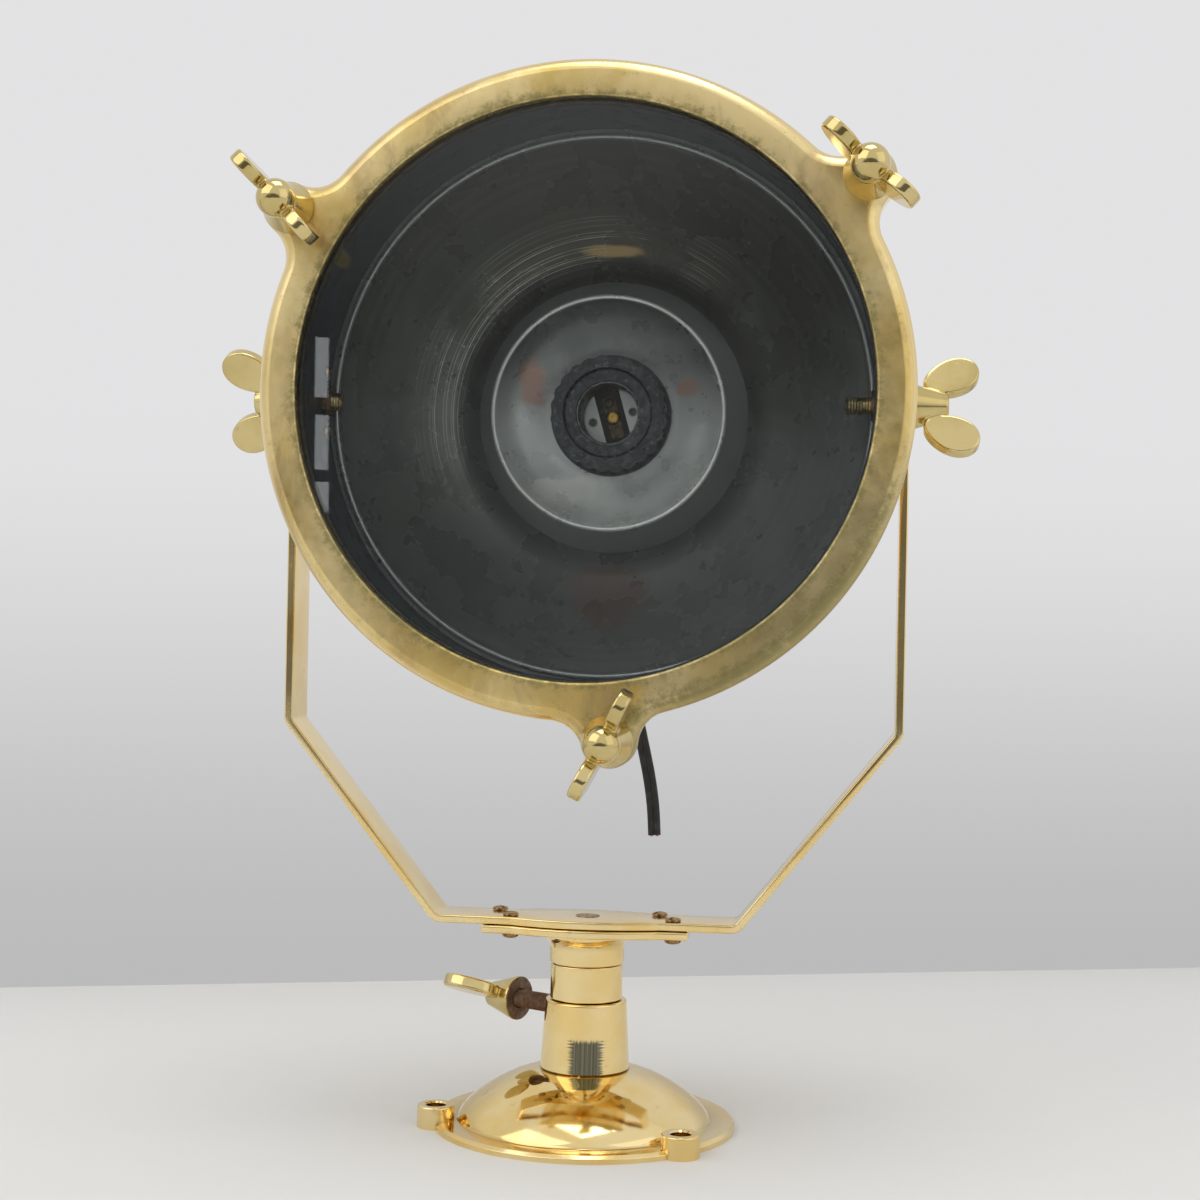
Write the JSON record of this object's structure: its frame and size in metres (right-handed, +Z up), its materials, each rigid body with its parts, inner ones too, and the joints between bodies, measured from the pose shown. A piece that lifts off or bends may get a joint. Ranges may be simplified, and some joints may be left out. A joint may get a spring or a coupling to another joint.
{
  "type": "maritime signal light",
  "caption": "Brass searchlight: round glazed head tilting in a bent strap yoke, swivelling on a domed base with a wing-headed lock screw.",
  "frame": {"origin": "on the floor under the middle of the base, on the pan axis", "axes": "+Z up along the pan axis, -Y the way the lamp faces, +X to the right as seen from the front"},
  "size_m": [0.3254, 0.1703, 0.4434],
  "materials": {
    "polished_brass": "polished, lacquered, with warm self-reflections",
    "satin_brass": "satin with brown tarnish",
    "aged_brass": "aged brown",
    "dark_mirror": "tarnished dark mirror",
    "cup_metal": "worn silvering",
    "bakelite": "gloss black moulding",
    "porcelain": "glazed white",
    "glass": "clear",
    "rubber": "matt black",
    "rusty_steel": "rusted brown",
    "plated_steel": "dull zinc plate"
  },
  "bodies": {
    "base": {"base_casting": "polished_brass", "swivel_sleeve": "polished_brass"},
    "pan_lock": {"pan_lock_shank": "rusty_steel", "pan_lock_wing": "polished_brass"},
    "yoke": {"centre_screw": "polished_brass", "retaining_nut": "plated_steel", "retaining_washer": "plated_steel", "strap_nut_front_left": "aged_brass", "strap_nut_front_right": "aged_brass", "strap_nut_rear_left": "aged_brass", "strap_nut_rear_right": "aged_brass", "strap_screw_front_left": "aged_brass", "strap_screw_front_right": "aged_brass", "strap_screw_rear_left": "aged_brass", "strap_screw_rear_right": "aged_brass", "swivel_plate": "polished_brass", "yoke_strap": "polished_brass"},
    "head": {"bezel_stud_bottom": "satin_brass", "bezel_stud_left": "satin_brass", "bezel_stud_right": "satin_brass", "contact_screw": "plated_steel", "contact_strip": "aged_brass", "cord_grommet": "rubber", "drum": "polished_brass", "drum_tail": "polished_brass", "front_ring": "polished_brass", "holder_bracket": "plated_steel", "lamp_shell": "satin_brass", "lampholder_body": "bakelite", "pivot_nut_left": "aged_brass", "pivot_nut_right": "aged_brass", "pivot_pad_left": "polished_brass", "pivot_pad_right": "polished_brass", "pivot_rivet_left_lower": "aged_brass", "pivot_rivet_left_upper": "aged_brass", "pivot_rivet_right_lower": "aged_brass", "pivot_rivet_right_upper": "aged_brass", "pivot_stud_left": "satin_brass", "pivot_stud_right": "satin_brass", "porcelain_insert": "porcelain", "reflector": "dark_mirror", "reflector_cup": "cup_metal", "shade_ring": "bakelite", "supply_cord": "rubber", "tail_bolt_left": "satin_brass", "tail_bolt_right": "satin_brass"},
    "bezel": {"bezel_ring": "satin_brass", "front_glass": "glass", "glass_gasket": "rubber"},
    "bezel_nut_left": {"bezel_wing_nut_left": "polished_brass"},
    "bezel_nut_right": {"bezel_wing_nut_right": "polished_brass"},
    "bezel_nut_bottom": {"bezel_wing_nut_bottom": "polished_brass"},
    "tilt_nut_left": {"tilt_wing_nut_left": "polished_brass"},
    "tilt_nut_right": {"tilt_wing_nut_right": "polished_brass"}
  },
  "joints": [
    {"name": "pan", "type": "hinge", "parent": "base", "child": "yoke", "pos_m": [0, 0, 0.0694], "axis": [0, 0, 1], "continuous": true},
    {"name": "tilt", "type": "hinge", "parent": "yoke", "child": "head", "pos_m": [0, 0, 0.3095], "axis": [-1, 0, 0], "range_deg": [-30, 90]},
    {"name": "bezel_slide", "type": "slide", "parent": "head", "child": "bezel", "axis": [0, -1, 0], "range_m": [0, 0.035]},
    {"name": "bezel_nut_left_turn", "type": "hinge", "parent": "bezel", "child": "bezel_nut_left", "pos_m": [-0.12172, -0.0583, 0.38264], "axis": [0, -1, 0], "continuous": true},
    {"name": "bezel_nut_right_turn", "type": "hinge", "parent": "bezel", "child": "bezel_nut_right", "pos_m": [0.11341, -0.0583, 0.39496], "axis": [0, -1, 0], "continuous": true},
    {"name": "bezel_nut_bottom_turn", "type": "hinge", "parent": "bezel", "child": "bezel_nut_bottom", "pos_m": [0.01361, -0.0583, 0.16815], "axis": [0, -1, 0], "continuous": true},
    {"name": "tilt_nut_left_turn", "type": "hinge", "parent": "head", "child": "tilt_nut_left", "pos_m": [-0.1352, 0, 0.3095], "axis": [-1, 0, 0], "continuous": true},
    {"name": "tilt_nut_right_turn", "type": "hinge", "parent": "head", "child": "tilt_nut_right", "pos_m": [0.1328, 0, 0.3095], "axis": [1, 0, 0], "continuous": true},
    {"name": "pan_lock_turn", "type": "hinge", "parent": "base", "child": "pan_lock", "pos_m": [-0.03149, 0.01745, 0.0492], "axis": [-0.8746, 0.4848, 0], "continuous": true}
  ]
}
